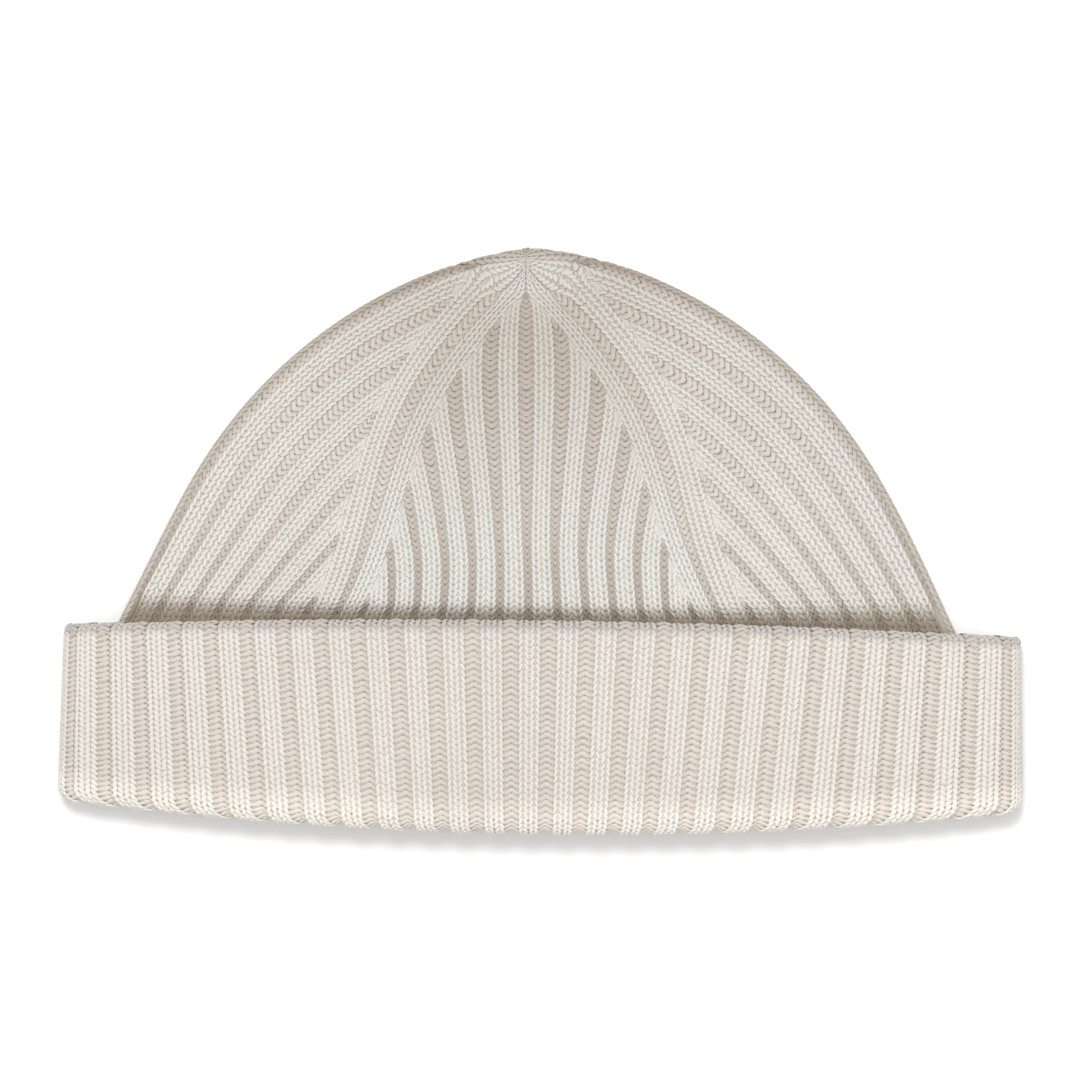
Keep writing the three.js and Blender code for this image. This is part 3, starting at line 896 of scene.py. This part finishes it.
# Columns of the crown's grid follow the ribs, and close up where a rib has ended
def crownGridPlace(face, lowest, rows, relief):
    steps, wedge = backing["ribSteps"], hat["halfWedgeRibs"]

    def place(column, row):
        v = mix(lowest, 1, row / rows)
        count = ribsLeft(v)
        turn = column / steps % hat["ribs"]
        half = np.floor(turn / wedge).astype(int)  # 0 to 3 on the right, 4 to 7 on the left
        side = np.where(half < 4, 1, -1)
        zone = np.where(half < 4, half, 7 - half)
        at = turn - wedge * half
        at = np.where((side > 0) == (zone % 2 == 0), at, wedge - at)
        rib = np.minimum(np.floor(at), wedge - 1)
        width = np.where(rib < wedge - 1, np.clip(count - 1 - rib, 0, 1), 1)
        start = np.where(rib < wedge - 1, np.minimum(rib, count - 1), count - 1)
        where = start + (at - rib) * width
        groove = crownRelief(v, where) if relief else 0 * v
        depth = groove + crownDip(v, zone) + hat["backing"] if relief else 0
        points, outward = crownPlace(face, v, side, zone, where, depth)
        return points, np.clip(groove / hat["groove"], 0, 1), crownShade(v, zone, outward)

    return place


def crownBacking():
    bm = bmesh.new()
    columns = backing["ribSteps"] * hat["ribs"]
    lowest = -crown["overlap"] / crown["rise"]
    rows = backing["crownRows"]
    bentGrid(bm, columns, rows, crownGridPlace(outerFace, lowest, rows, True))
    rows = backing["innerRows"]
    lowest = -crown["overlap"] / innerFace["rise"]
    bentGrid(bm, columns, rows, crownGridPlace(innerFace, lowest, rows, False))
    return finishedBacking("crown_fabric", bm, wools["crownBacking"], "crown")


def cuffBacking():
    bm = bmesh.new()
    columns = backing["ribSteps"] * hat["ribs"]
    rows, hidden = backing["cuffRows"], backing["hiddenRows"]
    gap = hat["layerGap"] / 2
    end = outerHeight + aroundFold + innerHeight

    def place(column, row):
        rib = column / backing["ribSteps"] % hat["ribs"]
        down = end * np.minimum(row / rows, 1)
        relief = cuffRelief(rib, down)
        visible = cuffSurface(rib, down, relief + hat["backing"])
        back = np.clip((row - rows - 1) / (hidden - 2), 0, 1)
        angle = np.where(back < 0.5, np.pi, 0.0)
        up = abs(back - 0.5) * 2
        top = np.where(back < 0.5, innerTop, rimY - cuff["rimRound"])
        covered = cuffPoint(rib, angle, gap, up, top)
        points = np.where((row > rows)[:, None], covered, visible)
        # where the layers cover it, the fabric has the full painted shade
        shade = np.where(row > rows, 1, cuffShade(down))
        return points, np.clip(relief / hat["groove"], 0, 1), shade

    bentGrid(bm, columns, rows + hidden, place)
    return finishedBacking("cuff_fabric", bm, wools["cuffBacking"], "cuff")


crownBacking()
cuffBacking()


# Floor, light and camera
studio = {
    "floorSize": 4.0,
    "floorColour": (0.93, 0.93, 0.93),
    "floorRoughness": 0.9,
    "floorSpecular": 0.1,
    "sky": 0.46,
    "lights": {
        "key": {"place": (-0.1, 0.45, 1.7), "size": 0.42, "power": 18},
        "fill": {"place": (0.1, -0.15, 1.9), "size": 1.2, "power": 12},
    },
    "photoWidth": 1080 * 0.24 * mm,  # of the whole picture, at the height of the subject
    "sensor": 36,
    "cameraHeight": 1.5,
    "subjectHeight": 12 * mm,
}


def makeFloor():
    paint = bpy.data.materials.new("floorPaint")
    paint.use_nodes = True
    shader = paint.node_tree.nodes["Principled BSDF"]
    shader.inputs["Base Color"].default_value = (*studio["floorColour"], 1)
    shader.inputs["Roughness"].default_value = studio["floorRoughness"]
    shader.inputs["Specular IOR Level"].default_value = studio["floorSpecular"]
    bm = bmesh.new()
    bmesh.ops.create_grid(bm, x_segments=1, y_segments=1, size=studio["floorSize"] / 2)
    mesh = bpy.data.meshes.new("floor")
    bm.to_mesh(mesh)
    bm.free()
    mesh.materials.append(paint)
    floor = bpy.data.objects.new("floor", mesh)
    bpy.context.collection.objects.link(floor)


def softLight(name, place, size, power):
    light = bpy.data.lights.new(name, "AREA")
    light.shape = "DISK"
    light.size = size
    light.energy = power
    lamp = bpy.data.objects.new(name, light)
    lamp.location = place
    lamp.rotation_mode = "QUATERNION"
    lamp.rotation_quaternion = lamp.location.to_track_quat("Z", "Y")
    bpy.context.collection.objects.link(lamp)


def makeStudio():
    makeFloor()
    world = bpy.data.worlds.new("studio")
    world.use_nodes = True
    sky = world.node_tree.nodes["Background"]
    sky.inputs["Color"].default_value = (1, 1, 1, 1)
    sky.inputs["Strength"].default_value = studio["sky"]
    bpy.context.scene.world = world
    for name, light in studio["lights"].items():
        softLight(name, **light)
    bpy.context.scene.view_settings.view_transform = "Standard"


def makeCamera():
    camera = bpy.data.cameras.new("camera")
    distance = studio["cameraHeight"] - studio["subjectHeight"]
    camera.sensor_width = studio["sensor"]
    camera.lens = camera.sensor_width * distance / studio["photoWidth"]
    eye = bpy.data.objects.new("camera", camera)
    eye.location = (0, 0, studio["cameraHeight"])
    bpy.context.collection.objects.link(eye)
    bpy.context.scene.camera = eye


makeStudio()
makeCamera()
print("studio made")
